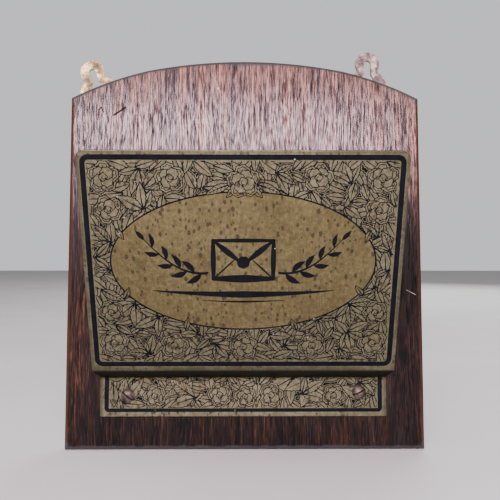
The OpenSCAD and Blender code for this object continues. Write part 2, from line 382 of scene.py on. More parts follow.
def scratch(start, end, half_width):
    """1 within half_width of the line between two places on the front, all in millimetres, else 0."""
    run = np.subtract(end, start) * MM
    share = run / (run @ run)
    from_x = sums(tree, "SUBTRACT", place["X"], start[0] * MM)
    from_z = sums(tree, "SUBTRACT", place["Z"], start[1] * MM)
    along = weighed(tree, from_x, share[0], times(tree, from_z, share[1]))
    along = sums(tree, "MINIMUM", sums(tree, "MAXIMUM", along, 0.0), 1.0)
    away = distance(tree, weighed(tree, along, -run[0], from_x), weighed(tree, along, -run[1], from_z))
    away = weighed(tree, edge_noise, SCRATCH_RAGGEDNESS, away)
    edge = half_width * MM + SCRATCH_RAGGEDNESS / 2
    return spread(tree, away, edge + SCRATCH_FADE, edge)


dark_scratches = scratch((-78.2, 94.0), (-85.6, 89.0), 0.45)
hook = [(-96.0, 86.0), (-95.6, 92.5), (-93.8, 94.2), (-92.6, 91.0)]
for start, end in zip(hook, hook[1:]):
    dark_scratches = sums(tree, "MAXIMUM", dark_scratches, scratch(start, end, 0.22))
dark_scratches = times(tree, dark_scratches, is_front)
wood = mixed(tree, dark_scratches, wood, paint(34, 14, 8))
pale_scratches = sums(tree, "MAXIMUM",
                      scratch((103.8, -25.0), (109.6, -28.0), -0.02),
                      scratch((-105.0, 40.0), (-103.5, 28.0), -0.05))
front_flecks = grouped(tree, dust_flecks, {"Vector": straight, "Scale": 110.0, "Size": 0.075, "Share": 0.16})
pale_marks = times(tree, sums(tree, "MAXIMUM", pale_scratches, front_flecks["Mask"]), is_front)
wood = mixed(tree, times(tree, pale_marks, 0.8), wood, paint(205, 196, 186))

# The wax lies thick on the hard grain, thin on the soft grain, and is missing from the pores. It is
# thinner beside the pocket and towards the crown.
gloss_cloud = noise(tree, placed(tree, (1, 1, 0.35)), 55.0, 4.0, 0.65)
wax_roughness = weighed(tree, spread(tree, gloss_cloud, 0.3, 0.7), 0.12, 0.40)
wax_roughness = weighed(tree, pores, 0.25, wax_roughness)
hard_grain = weighed(tree, fine_streaks, 0.5, times(tree, streaks, 0.5))
polish = times(tree, spread(tree, place["Z"], -0.005, 0.045, 0.30, 1.0),
               spread(tree, place["Z"], 0.082, 0.116, 1.0, 0.55))
bare = sums(tree, "MAXIMUM", dark_scratches, edge_wear)
bare = sums(tree, "MAXIMUM", times(tree, pores, 0.6), bare)
wax = times(tree, spread(tree, hard_grain, 0.43, 0.57, 0.02, 0.68), polish, not_back,
            sums(tree, "SUBTRACT", 1.0, bare))

wood_height = 0.0
for marks, weight in ((streaks, 0.9), (fine_streaks, 0.35), (pores, -1.0), (dark_scratches, -1.2)):
    wood_height = weighed(tree, marks, weight, wood_height)
wood_normal = bumped(tree, wood_height, 0.5, 0.10 * MM)
give(tree, shader, {"Base Color": wood, "Roughness": wax_roughness, "Specular IOR Level": 0.12,
                    "Coat Weight": wax, "Coat Roughness": 0.22,
                    "Normal": wood_normal, "Coat Normal": wood_normal})

oak_board = cad_copy("back_board", "oak_board", BOARD_EDGE_ROUNDING, dark_oak)


# ---- Brass pocket ----------------------------------------------------------
# One sheet of brass, folded twice: a flange that lies on the board, a sloping
# floor, and a front plate that leans out. Its front is aged and spotted.
BOARD_THICKNESS = 9.5 * MM
SHEET_WIDTH = 181 * MM
SHEET_THICKNESS = 1.2 * MM
SHEET_SHIFT = -0.9 * MM
FLANGE_FOOT = 21 * MM
FLANGE_HEIGHT = 22.8 * MM
FOLD_RADIUS = 3.6 * MM
FLOOR_LENGTH = 15.3 * MM
FLOOR_SLOPE = math.radians(18)
PLATE_LENGTH = 129 * MM
PLATE_SLOPE = math.radians(71.1)
TOP_CORNER = 5.3 * MM
FLANGE_CORNER = 0.8 * MM
RIM_ROUNDING = 0.45 * MM


def heading(angle):
    """The direction at an angle above the horizontal, as (out from the board, up)."""
    return np.stack([np.cos(angle), np.sin(angle)], axis=-1)


def across(angle):
    """The direction square to heading(angle), towards the wall."""
    return np.stack([-np.sin(angle), np.cos(angle)], axis=-1)


upper_fold = np.array([SHEET_THICKNESS / 2 + FOLD_RADIUS, FLANGE_FOOT + FLANGE_HEIGHT])
floor_start = upper_fold + FOLD_RADIUS * across(FLOOR_SLOPE)
lower_fold = floor_start + FLOOR_LENGTH * heading(FLOOR_SLOPE) + FOLD_RADIUS * across(FLOOR_SLOPE)
plate_start = lower_fold - FOLD_RADIUS * across(PLATE_SLOPE)
plate_front = plate_start - SHEET_THICKNESS / 2 * across(PLATE_SLOPE)


def to_rack(sideways, out, up):
    """Places given as sideways from the sheet's centre, out from the board's front and up from its foot."""
    return np.stack([sideways + SHEET_SHIFT, -BOARD_THICKNESS - out, up - BOARD_HEIGHT / 2], axis=-1)


def skin(rows, loop, closed=False):
    """Faces over rows of points that each run round in a loop: a quad between every two neighbours on two
    rows. A closed skin goes on from its last row to its first, and an open one is capped."""
    row = np.arange(rows if closed else rows - 1)[:, None] * loop
    column = np.arange(loop)
    next_row = (row + loop) % (rows * loop)
    next_column = (column + 1) % loop
    faces = np.stack([row + column, row + next_column, next_row + next_column, next_row + column], axis=-1)
    faces = faces.reshape(-1, 4).tolist()
    if not closed:
        faces += [list(range(loop))[::-1], list(range((rows - 1) * loop, rows * loop))]
    return faces


def folded_sheet():
    """A rounded flat section carried along the sheet's path, its half width drawn in by a quarter circle
    at each rounded corner and its thickness by a quarter circle at each end rim. Both ends are capped."""
    rim_steps = RIM_ROUNDING * (1 - np.sqrt(1 - np.linspace(0, 1, 7) ** 2))
    foot_corner = FLANGE_CORNER * (1 - np.cos(np.linspace(0, math.pi / 2, 7)))
    top_corner = TOP_CORNER * (1 - np.cos(np.linspace(0, math.pi / 2, 15)))
    flange_run = np.append(np.unique(np.concatenate([rim_steps, foot_corner])), FLANGE_HEIGHT / 2)
    plate_run = np.append(PLATE_LENGTH / 2,
                          PLATE_LENGTH - np.unique(np.concatenate([rim_steps, top_corner]))[::-1])
    upper_turn = np.linspace(math.pi / 2, FLOOR_SLOPE, 15)
    lower_turn = np.linspace(FLOOR_SLOPE, PLATE_SLOPE, 13)
    path = np.concatenate([
        np.array([SHEET_THICKNESS / 2, FLANGE_FOOT]) + flange_run[:, None] * heading(math.pi / 2),
        upper_fold + FOLD_RADIUS * across(upper_turn),
        lower_fold - FOLD_RADIUS * across(lower_turn),
        plate_start + plate_run[:, None] * heading(PLATE_SLOPE)])
    slope = np.concatenate([np.full(len(flange_run), math.pi / 2), upper_turn, lower_turn,
                            np.full(len(plate_run), PLATE_SLOPE)])

    from_foot = np.full(len(path), PLATE_LENGTH)
    from_foot[:len(flange_run)] = flange_run
    from_top = np.full(len(path), PLATE_LENGTH)
    from_top[-len(plate_run):] = PLATE_LENGTH - plate_run

    def drawn_in(gap, radius):
        inside = np.clip(radius - gap, 0, radius)
        return radius - np.sqrt(radius ** 2 - inside ** 2)

    half_width = SHEET_WIDTH / 2 - drawn_in(from_top, TOP_CORNER) - drawn_in(from_foot, FLANGE_CORNER)
    half_thick = SHEET_THICKNESS / 2 - drawn_in(from_top, RIM_ROUNDING) - drawn_in(from_foot, RIM_ROUNDING)

    turn = np.linspace(0, math.pi / 2, 6)
    corner_x = RIM_ROUNDING * np.cos(turn) - RIM_ROUNDING
    corner_t = RIM_ROUNDING * np.sin(turn) - RIM_ROUNDING
    shrink = np.clip(half_thick / (SHEET_THICKNESS / 2), 0.3, 1)[:, None]
    right_x = half_width[:, None] + corner_x
    right_t = half_thick[:, None] + corner_t * shrink
    side = np.concatenate([right_x, -right_x[:, ::-1], -right_x, right_x[:, ::-1]], axis=1)
    wall = np.concatenate([right_t, right_t[:, ::-1], -right_t, -right_t[:, ::-1]], axis=1)
    middle = path[:, None] + wall[..., None] * across(slope)[:, None]
    points = to_rack(side, middle[..., 0], middle[..., 1])
    return points.reshape(-1, 3), skin(*side.shape)


# Tarnish: soft-edged clouds that cover a chosen part of the metal
tarnish, given, last_node = add_group("tarnish", ("Scale", "Level", "Softness"), ("Mask", "Cloud"))
cloud = noise(tarnish, given["Vector"], given["Scale"], 5.0, 0.62)
cloud_low = sums(tarnish, "SUBTRACT", given["Level"], given["Softness"])
cloud_high = sums(tarnish, "ADD", given["Level"], given["Softness"])
give(tarnish, last_node, {"Mask": spread(tarnish, cloud, cloud_low, cloud_high), "Cloud": cloud})

OVAL_HALF_WIDTH = 75.0
OVAL_HALF_HEIGHT = 40.5
OVAL_CENTRE = 66.0

engraved_brass, tree, shader = new_material("engraved_brass")
straight = placed(tree)
place = add(tree, "ShaderNodeSeparateXYZ", {"Vector": straight}).outputs
plate_up = np.array([0, -math.cos(PLATE_SLOPE), math.sin(PLATE_SLOPE)])
plate_out = np.array([0, -math.sin(PLATE_SLOPE), -math.cos(PLATE_SLOPE)])


def component(tree, vector, way, origin=(0, 0, 0)):
    """How far a vector reaches from an origin in one direction: their difference's dot product with it."""
    apart = add(tree, "ShaderNodeVectorMath", {0: vector, 1: origin}, operation="SUBTRACT").outputs[0]
    return add(tree, "ShaderNodeVectorMath", {0: apart, 1: way}, operation="DOT_PRODUCT").outputs["Value"]


plate_p = sums(tree, "SUBTRACT", place["X"], SHEET_SHIFT)
plate_q = component(tree, straight, plate_up, to_rack(0.0, *plate_front))
true_normal = add(tree, "ShaderNodeNewGeometry").outputs["True Normal"]
is_front = sums(tree, "GREATER_THAN", component(tree, true_normal, plate_out), 0.5)

oval_p = sums(tree, "DIVIDE", plate_p, OVAL_HALF_WIDTH * MM)
oval_q = weighed(tree, plate_q, 1 / (OVAL_HALF_HEIGHT * MM), -OVAL_CENTRE / OVAL_HALF_HEIGHT)
in_oval = times(tree, spread(tree, distance(tree, oval_p, oval_q), 1.004, 0.992), is_front)

rubbing = noise(tree, placed(tree, (1, 0.14, 0.14)), 900.0, 3.0, 0.7)
patina = grouped(tree, tarnish, {"Vector": straight, "Scale": 42.0, "Level": 0.5, "Softness": 0.22})
mottle = noise(tree, straight, 420.0, 4.0, 0.7)
field_brass = ramp(tree, mottle, (0.26, paint(82, 80, 60)), (0.50, paint(108, 107, 84)),
                   (0.74, paint(136, 134, 110)))
oval_brass = ramp(tree, mottle, (0.26, paint(80, 73, 46)), (0.50, paint(102, 96, 64)),
                  (0.76, paint(130, 123, 86)))
brass = mixed(tree, in_oval, field_brass, oval_brass)
brass = mixed(tree, times(tree, patina["Mask"], 0.45), brass,
              mixed(tree, 1.0, brass, paint(196, 186, 172), "MULTIPLY"))
brass = mixed(tree, times(tree, spread(tree, rubbing, 0.42, 0.62), 0.12), brass, paint(158, 138, 102))

# Grey-brown spots in short upright chains, and small dark pits
chain = add(tree, "ShaderNodeTexVoronoi",
            {"Vector": placed(tree, (1, 0.66, 0.66)), "Scale": 350.0, "Randomness": 0.9}).outputs
chain_pick = add(tree, "ShaderNodeSeparateColor", {"Color": chain["Color"]}).outputs
chain_share = noise(tree, placed(tree, (1, 0.25, 0.25), (0.4, 0.2, 0.1)), 60.0, 2.0)
chain_share = spread(tree, chain_share, 0.32, 0.56, 0.20, 0.90)
chain_held = sums(tree, "LESS_THAN", chain_pick["Red"], chain_share)
chain_size = weighed(tree, chain_pick["Green"], 0.24, 0.14)
chain_shape = weighed(tree, mottle, 0.35, chain["Distance"])
chain_dot = spread(tree, sums(tree, "SUBTRACT", chain_shape, chain_size), 0.24, 0.12)
spots = times(tree, chain_held, chain_dot)
brass = mixed(tree, times(tree, spots, 0.80), brass, paint(52, 46, 32))
pits = grouped(tree, dust_flecks, {"Vector": straight, "Scale": 420.0, "Size": 0.42, "Share": 0.16})
brass = mixed(tree, times(tree, pits["Mask"], 0.5), brass, paint(84, 60, 34))

# The margins are painted darker, broken up by the tarnish clouds: painted shade in place of the dim
# reflection that they show
margin_p = spread(tree, sums(tree, "ABSOLUTE", plate_p), 87.6 * MM, 89.6 * MM)
margin_top = spread(tree, plate_q, 126.2 * MM, 128.4 * MM)
fold_gap = sums(tree, "ABSOLUTE", sums(tree, "ADD", plate_q, 0.6 * MM))
margin_shade = sums(tree, "MAXIMUM", margin_p, margin_top)
margin_shade = sums(tree, "MAXIMUM", margin_shade, spread(tree, fold_gap, 2.4 * MM, 1.0 * MM))
margin_shade = times(tree, margin_shade, spread(tree, patina["Cloud"], 0.35, 0.6, 0.40, 0.80))
brass = mixed(tree, margin_shade, brass, paint(72, 70, 54))

# Surfaces that face down, under the fold and the pocket floor, are painted nearly black: painted shade
underside_shade = spread(tree, facing(tree, "Z"), -0.50, -0.80)
brass = mixed(tree, times(tree, underside_shade, 0.94), brass, paint(9, 8, 6))

dull = sums(tree, "MAXIMUM", spots, underside_shade)
dull = sums(tree, "MAXIMUM", dull, times(tree, pits["Mask"], 0.8))
brass_roughness = 0.25
for marks, weight in ((mottle, 0.20), (patina["Mask"], 0.08), (dull, 0.12)):
    brass_roughness = weighed(tree, marks, weight, brass_roughness)
brass_height = 0.0
for marks, weight in ((mottle, 0.6), (dull, -0.8), (patina["Cloud"], 1.5)):
    brass_height = weighed(tree, marks, weight, brass_height)
give(tree, shader, {"Base Color": brass, "Roughness": brass_roughness,
                    "Metallic": weighed(tree, dull, -0.15, 0.94),
                    "Normal": bumped(tree, brass_height, 0.35, 0.10 * MM)})

brass_sheet = new_mesh("brass_sheet", *folded_sheet(), engraved_brass)
brass_sheet.data.set_sharp_from_angle(angle=math.radians(40))
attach(brass_sheet, "root")
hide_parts("brass_pocket")


# ---- Enamel borders --------------------------------------------------------
# A black band runs round the plate and round the flange, inside their edges.
# It is stoving enamel in an etched groove, rubbed down almost flush.
ENAMEL_PROUD = 0.045 * MM
ENAMEL_SUNK = 0.05 * MM
FOLD_HOLLOW = FOLD_RADIUS - SHEET_THICKNESS / 2
RIM_STEP = 0.12
ARC_STEPS = 10
FOLD_STEPS = 9
BAND_P, BAND_LOW, BAND_TOP, BAND_CORNER, BAND_WIDTH = 86.8, 3.0, 125.2, 3.2, 2.9
FLANGE_BAND_P, FLANGE_BAND_LOW, FLANGE_BAND_RISE, FLANGE_BAND_CORNER = 86.2, 4.1, 3.4, 1.5
FLANGE_SIDE_WIDTH, FLANGE_FOOT_WIDTH = 2.7, 2.2


def on_plate(p, q, proud):
    """Places on the front plate: p across from its centre, q up from its lower fold, both in millimetres."""
    out = plate_front[0] + q * MM * math.cos(PLATE_SLOPE) + proud * math.sin(PLATE_SLOPE)
    up = plate_front[1] + q * MM * math.sin(PLATE_SLOPE) - proud * math.cos(PLATE_SLOPE)
    return to_rack(p * MM, out, up)


def on_flange(p, q, proud):
    """Places on the flange: p across from its centre, q up from its lower edge, both in millimetres. Above
    the flat part, q follows the hollow of the upper fold."""
    turn = np.maximum(q * MM - FLANGE_HEIGHT, 0) / FOLD_HOLLOW
    hollow = FOLD_HOLLOW - proud
    out = upper_fold[0] - hollow * np.cos(turn)
    up = np.where(turn > 0, upper_fold[1] + hollow * np.sin(turn), FLANGE_FOOT + q * MM)
    return to_rack(p * MM, out, up)


black_enamel, tree, shader = new_material("black_enamel")
enamel_cloud = noise(tree, placed(tree), 160.0, 4.0, 0.6)
enamel = ramp(tree, enamel_cloud, (0.35, paint(4, 6, 9)), (0.65, paint(11, 14, 20)))
enamel_flecks = grouped(tree, dust_flecks,
                        {"Vector": placed(tree), "Scale": 300.0, "Size": 0.15, "Share": 0.14})
enamel = mixed(tree, times(tree, enamel_flecks["Mask"], 0.75), enamel, paint(176, 184, 196))
give(tree, shader, {"Base Color": enamel, "Specular IOR Level": 0.08,
                    "Roughness": spread(tree, enamel_cloud, 0.3, 0.7, 0.38, 0.6),
                    "Normal": bumped(tree, enamel_cloud, 0.3, 0.08 * MM)})


def enamel_piece(name, points, faces):
    """A separate piece of the enamel, fixed to the sheet and finished with it."""
    piece = new_mesh(name, points, faces, black_enamel, smooth=False)
    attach(piece, "root")


def border_band(name, place_on, radius, centre_p, centre_q, away, widths, closed):
    """A low band: a flat section with a slightly lower rim, carried round a row of corner arcs of one
    radius. Each station is an arc's centre, a direction away from it and the band's width there."""
    sideways = np.array([-1, -1, -1, 1, 1, 1]) * widths[:, None] / 2
    reach = radius + sideways + np.array([0, 0, RIM_STEP, -RIM_STEP, 0, 0])
    rim = 0.6 * ENAMEL_PROUD
    heights = np.array([-ENAMEL_SUNK, rim, ENAMEL_PROUD, ENAMEL_PROUD, rim, -ENAMEL_SUNK])
    points = place_on(centre_p[:, None] + reach * np.cos(away)[:, None],
                      centre_q[:, None] + reach * np.sin(away)[:, None],
                      np.broadcast_to(heights, reach.shape))
    enamel_piece(name, points.reshape(-1, 3), skin(*reach.shape, closed))


quarter = np.linspace(0, math.pi / 2, ARC_STEPS)
across_p = BAND_P - BAND_CORNER
upper_q = BAND_TOP - BAND_CORNER
lower_q = BAND_LOW + BAND_CORNER
border_band("plate_border", on_plate, BAND_CORNER,
            np.repeat([across_p, -across_p, -across_p, across_p], ARC_STEPS),
            np.repeat([upper_q, upper_q, lower_q, lower_q], ARC_STEPS),
            np.concatenate([quarter, quarter + math.pi / 2, quarter + math.pi, quarter - math.pi / 2]),
            np.full(4 * ARC_STEPS, BAND_WIDTH), True)

# The flange's band runs down from the fold on the left, along the bottom and up to the fold on the right
across_p = FLANGE_BAND_P - FLANGE_BAND_CORNER
lower_q = FLANGE_BAND_LOW + FLANGE_BAND_CORNER
fold_q = FLANGE_HEIGHT / MM + np.linspace(0, FLANGE_BAND_RISE, FOLD_STEPS)
upright = np.zeros(FOLD_STEPS)
side_width = np.full(FOLD_STEPS, FLANGE_SIDE_WIDTH)
narrowing = np.linspace(FLANGE_SIDE_WIDTH, FLANGE_FOOT_WIDTH, ARC_STEPS)
border_band("flange_border", on_flange, FLANGE_BAND_CORNER,
            np.repeat([-across_p, across_p], ARC_STEPS + FOLD_STEPS),
            np.concatenate([fold_q[::-1], np.full(2 * ARC_STEPS, lower_q), fold_q]),
            np.concatenate([upright + math.pi, quarter + math.pi, quarter - math.pi / 2, upright]),
            np.concatenate([side_width, narrowing, narrowing[::-1], side_width]), False)


# ---- Enamel roses and leaves -----------------------------------------------
# Roses and pointed leaves fill the plate between its border and a plain oval,
# and the flange below. They are thin etched lines filled with the same enamel.
LINE = 0.28
STEP = 0.24
PLATE_GROUND = (84.7, 4.9, 123.4)


class Drawing:
    """A field over a rectangle in millimetres, more than 0 where there is enamel, and how far each place
    is from the nearest leaf or petal. Each new shape covers what lies under it."""

    def __init__(self, p_low, p_high, q_low, q_high):
        self.p_axis = np.arange(p_low, p_high + STEP, STEP)
        self.q_axis = np.arange(q_low, q_high + STEP, STEP)
        self.ink = np.full((len(self.q_axis), len(self.p_axis)), -9.0)
        self.gap = np.full(self.ink.shape, 99.0)

    def window(self, p, q, reach):
        """The part of the field within reach of a place, and its coordinates from that place."""
        columns = slice(*np.searchsorted(self.p_axis, [p - reach, p + reach]))
        rows = slice(*np.searchsorted(self.q_axis, [q - reach, q + reach]))
        dp, dq = np.meshgrid(self.p_axis[columns] - p, self.q_axis[rows] - q)
        return (rows, columns), dp, dq

    def cover(self, part, edge, lines, behind=False):
        """Lays a shape down, or slips it behind those there: its outline where edge is near 0, its inner
        lines, and brass between them."""
        shape = np.maximum(LINE - np.abs(edge), lines)
        covered = edge < LINE
        if behind:
            covered &= self.gap[part] > LINE
        self.ink[part] = np.where(covered, shape, self.ink[part])
        self.gap[part] = np.minimum(self.gap[part], edge)

    def leaf(self, p, q, turn, length, width, bend=0.0, veins=False, behind=False):
        """A pointed leaf: its half width is a skewed sine of the way along its midrib, which is bent."""
        part, dp, dq = self.window(p, q, length + 2)
        along = dp * math.cos(turn) + dq * math.sin(turn)
        side = -dp * math.sin(turn) + dq * math.cos(turn)
        share = np.clip(along / length, 0, 1)
        side = side - bend * along * share
        swell = np.sin(math.pi * share ** 0.85) * (1 + 0.07 * np.sin(along * 3.1 + p))
        half = width / 2 * np.maximum(swell, 0)
        past = np.maximum(np.maximum(-along, along - length), 0)
        edge = np.where(past > 0, np.hypot(past, side), (np.abs(side) - half) * 0.88)
        rib = (0.34 * (1 - share) + 0.08) - np.abs(side)
        rib = np.where((share > 0) & (share < 0.84), rib, -9)
        if veins:
            run = (along - 1.25 * np.abs(side)) % 2.3
            vein = 0.15 - np.minimum(run, 2.3 - run) * 0.62
            rib = np.maximum(rib, np.where((edge < -0.55) & (share > 0.18), vein, -9))
        self.cover(part, edge, rib, behind)

    def petal(self, p, q, turn, radius, waves, fold):
        """A round petal with a waved edge, and a shorter waved line inside its outer half."""
        part, dp, dq = self.window(p, q, radius * 1.3 + 1)
        reach = np.hypot(dp, dq)
        way = np.arctan2(dq, dp) - turn
        wave = 0.055 * radius * np.sin(waves * way + p + q)
        edge = reach - radius - wave
        inner = LINE * 0.8 - np.abs(edge + fold + 0.16 * np.sin(9 * way + q))
        inner = np.where(np.cos(way) > 0.25, inner, -9)
        self.cover(part, edge, inner)

    def rose(self, p, q, radius, turn):
        """Five outer petals, four inner ones, and a rolled heart drawn as a spiral."""
        for ring, count, share, size, fold in ((0.56, 5, 0.0, 0.52, 1.35), (0.34, 4, 0.5, 0.42, 99.0)):
            for i in range(count):
                angle = turn + (i + share) * 2 * math.pi / count
                self.petal(p + ring * radius * math.cos(angle), q + ring * radius * math.sin(angle),
                           angle, size * radius, 7, fold)
        part, dp, dq = self.window(p, q, radius)
        reach = np.hypot(dp, dq)
        way = np.arctan2(dq, dp) - turn
        edge = reach - radius * (0.27 + 0.03 * np.cos(4 * way))
        spiral = (reach - radius * 0.27 * (way % (2 * math.pi)) / (2 * math.pi)) % (radius * 0.27)
        spiral = np.minimum(spiral, radius * 0.27 - spiral)
        self.cover(part, edge, np.where(reach < radius * 0.22, LINE * 0.75 - spiral, -9))

    def stroke(self, p, q, half_width, on=True):
        """A brushed stroke through a row of places, its half width changing along it."""
        reach = float(np.hypot(np.ptp(p), np.ptp(q)) + half_width.max() + 1)
        part, dp, dq = self.window(float(p.mean()), float(q.mean()), reach)
        inside = np.full(dp.shape, -9.0)
        for from_p, from_q, half in zip(p - p.mean(), q - q.mean(), half_width):
            np.maximum(inside, half - np.hypot(dp - from_p, dq - from_q), out=inside)
        if on:
            self.ink[part] = np.maximum(self.ink[part], inside)
        else:
            self.ink[part] = np.minimum(self.ink[part], -inside)

    def film(self, name, place_on, p_from, p_to, q_from, q_to):
        """The enamel in one part of the drawing, as a closed film. Each grid cell is cut into two triangles,
        and each triangle keeps the part where the field is more than 0, found along its sides."""
        i0, i1 = np.searchsorted(self.q_axis, [q_from, q_to])
        j0, j1 = np.searchsorted(self.p_axis, [p_from, p_to])
        field = self.ink[i0:i1 + 1, j0:j1 + 1]
        q, p = np.meshgrid(self.q_axis[i0:i1 + 1], self.p_axis[j0:j1 + 1], indexing="ij")
        rows, columns = field.shape
        corner = np.arange(rows * columns).reshape(rows, columns)
        f, p, q = field.ravel(), p.ravel(), q.ravel()
        a, b = corner[:-1, :-1].ravel(), corner[:-1, 1:].ravel()
        c, d = corner[1:, 1:].ravel(), corner[1:, :-1].ravel()
        triangles = np.concatenate([np.stack([a, b, c], 1), np.stack([a, c, d], 1)])
        inside = f[triangles] > 0
        count = inside.sum(1)
        total = rows * columns

        def crossing(u, v):
            low, high = np.minimum(u, v), np.maximum(u, v)
            return total + low * total + high

        whole = triangles[count == 3]
        one, two = triangles[count == 1], triangles[count == 2]
        first = inside[count == 1].argmax(1)
        one = one[np.arange(len(one))[:, None], (first[:, None] + np.arange(3)) % 3]
        missing = (~inside[count == 2]).argmax(1)
        two = two[np.arange(len(two))[:, None], (missing[:, None] + np.arange(3)) % 3]
        tip = np.stack([one[:, 0], crossing(one[:, 0], one[:, 1]), crossing(one[:, 0], one[:, 2])], 1)
        far, near = crossing(two[:, 0], two[:, 1]), crossing(two[:, 0], two[:, 2])
        lower = np.stack([far, two[:, 1], two[:, 2]], 1)
        upper = np.stack([far, two[:, 2], near], 1)
        keys, faces = np.unique(np.concatenate([whole, tip, lower, upper]), return_inverse=True)
        faces = faces.reshape(-1, 3)
        cut = keys >= total
        low, high = (keys[cut] - total) // total, (keys[cut] - total) % total
        share = np.clip(f[low] / (f[low] - f[high]), 0.06, 0.94)
        at_p, at_q = p[np.where(cut, 0, keys)], q[np.where(cut, 0, keys)]
        at_p[cut] = p[low] + share * (p[high] - p[low])
        at_q[cut] = q[low] + share * (q[high] - q[low])
        points = np.concatenate([place_on(at_p, at_q, np.full(len(at_p), ENAMEL_PROUD)),
                                 place_on(at_p, at_q, np.full(len(at_p), -ENAMEL_SUNK))])
        sides = np.concatenate([faces[:, [0, 1]], faces[:, [1, 2]], faces[:, [2, 0]]])
        size = len(keys)
        open_side = sides[~np.isin(sides[:, 0] * size + sides[:, 1], sides[:, 1] * size + sides[:, 0])]
        rim = np.stack([open_side[:, 1], open_side[:, 0], open_side[:, 0] + size, open_side[:, 1] + size], 1)
        everything = faces.tolist() + (faces[:, ::-1] + size).tolist() + rim.tolist()
        enamel_piece(name, points, everything)


def oval_gap(p, q):
    """Distance outside the oval, to first order: its equation's value divided by how fast that grows."""
    level = np.sqrt((p / OVAL_HALF_WIDTH) ** 2 + ((q - OVAL_CENTRE) / OVAL_HALF_HEIGHT) ** 2)
    growth = np.sqrt((p / OVAL_HALF_WIDTH ** 2) ** 2 + ((q - OVAL_CENTRE) / OVAL_HALF_HEIGHT ** 2) ** 2)
    return level * (level - 1) / np.maximum(growth, 1e-6)


def scatter(chance, count, p_span, q_span, allowed, spacing, taken):
    """Random allowed places, each at least the spacing away from the others and from those taken."""
    chosen = []
    for p, q in zip(chance.uniform(*p_span, count), chance.uniform(*q_span, count)):
        near = any(math.hypot(p - x, q - y) < spacing + more for x, y, more in taken)
        if near or not allowed(p, q):
            continue
        chosen.append((p, q))
        taken.append((p, q, 0.0))
    return chosen


def spray(drawing, chance, p, q, allowed, lean, size=1.0):
    """Three or four leaves that fan out from one place, on a short thick stem."""
    count = int(chance.integers(3, 5))
    fan = math.radians(44)
    for i in range(count):
        turn = lean + (i - (count - 1) / 2) * fan + chance.uniform(-0.16, 0.16)
        length = size * chance.uniform(11.5, 16.5)
        while length > 4.5 and not allowed(p + length * math.cos(turn), q + length * math.sin(turn)):
            length -= 0.8
        if length > 4.5:
            drawing.leaf(p + 0.6 * math.cos(turn), q + 0.6 * math.sin(turn), turn, length,
                         length * chance.uniform(0.36, 0.46), chance.uniform(-0.16, 0.16),
                         chance.random() < 0.22)
    reach = chance.uniform(3.0, 5.5)
    way = np.linspace(0, 1, 14)
    curl = lean + math.pi + chance.uniform(-0.7, 0.7) + 0.5 * way
    drawing.stroke(p + reach * way * np.cos(curl), q + reach * way * np.sin(curl), 0.62 - 0.42 * way)


def fill_gaps(drawing, inside, chance):
    """Slips a leaf behind the others at the middle of the widest gap, again and again until all are small."""
    for _ in range(400):
        room = np.where(inside > 1.2, drawing.gap, -1)
        row, column = np.unravel_index(room.argmax(), room.shape)
        if room[row, column] < 1.6:
            break
        turn = chance.uniform(0, 2 * math.pi)
        length = chance.uniform(9.5, 14.5)
        drawing.leaf(drawing.p_axis[column] - 0.5 * length * math.cos(turn),
                     drawing.q_axis[row] - 0.5 * length * math.sin(turn), turn, length,
                     length * chance.uniform(0.36, 0.48), chance.uniform(-0.12, 0.12), False, True)


def infill(drawing, inside, chance, dots):
    """Fills the gaps that no leaf reaches with black, leaves a thin line of brass round each, and sets a few
    brass dots in the widest."""
    black = np.minimum(drawing.gap - 0.62, inside - 0.95)
    drawing.ink = np.maximum(drawing.ink, black)
    rows, columns = np.nonzero(black > 0.75)
    for k in chance.integers(0, max(len(rows), 1), dots if len(rows) else 0):
        place_p, place_q = drawing.p_axis[columns[k]], drawing.q_axis[rows[k]]
        drawing.stroke(np.array([place_p]), np.array([place_q]), np.array([0.36]), on=False)
    drawing.ink = np.minimum(drawing.ink, inside)


chance = np.random.default_rng(1907)
plate_drawing = Drawing(-85.2, 85.2, 4.4, 124.0)


def inside_band(p, q, side, low, high):
    """Distance inside a border band, whose inner edges are at the sides, below and above."""
    return np.minimum(np.minimum(side - np.abs(p), q - low), high - q)


def on_border_ground(p, q):
    """True well between the border band and the oval."""
    return inside_band(p, q, *PLATE_GROUND) > 1.3 and oval_gap(p, q) > 1.0


rose_places = [(-76.0, 114.5, 8.2), (-74.5, 96.5, 7.6), (-40.0, 114.0, 7.8), (41.0, 114.2, 7.8),
               (76.0, 114.0, 8.2), (75.0, 96.0, 7.6), (-76.0, 16.5, 8.4), (-40.5, 15.0, 8.0),
               (0.0, 14.0, 8.0), (40.5, 15.0, 8.0), (76.0, 16.5, 8.4), (-76.5, 36.0, 7.0),
               (76.5, 36.0, 7.0)]
taken = [(p, q, r - 3.0) for p, q, r in rose_places] + [(0.0, 112.0, 6.0)]
for p, q in scatter(chance, 6000, (-84, 84), (5, 123), on_border_ground, 10.6, taken):
    if abs(p) > 78 and 46 < q < 90:
        lean = chance.choice([math.pi / 2, -math.pi / 2])
    else:
        lean = chance.uniform(0, 2 * math.pi)
    spray(plate_drawing, chance, p, q, on_border_ground, lean)
for p, q, radius in rose_places:
    plate_drawing.rose(p, q, radius, chance.uniform(0, 2))

grid_p, grid_q = np.meshgrid(plate_drawing.p_axis, plate_drawing.q_axis)
outside_oval = oval_gap(grid_p, grid_q)
ground = np.minimum(inside_band(grid_p, grid_q, *PLATE_GROUND), outside_oval)
fill_gaps(plate_drawing, ground, chance)
infill(plate_drawing, ground, chance, 40)
plate_drawing.ink = np.maximum(plate_drawing.ink, 0.42 - np.abs(outside_oval))

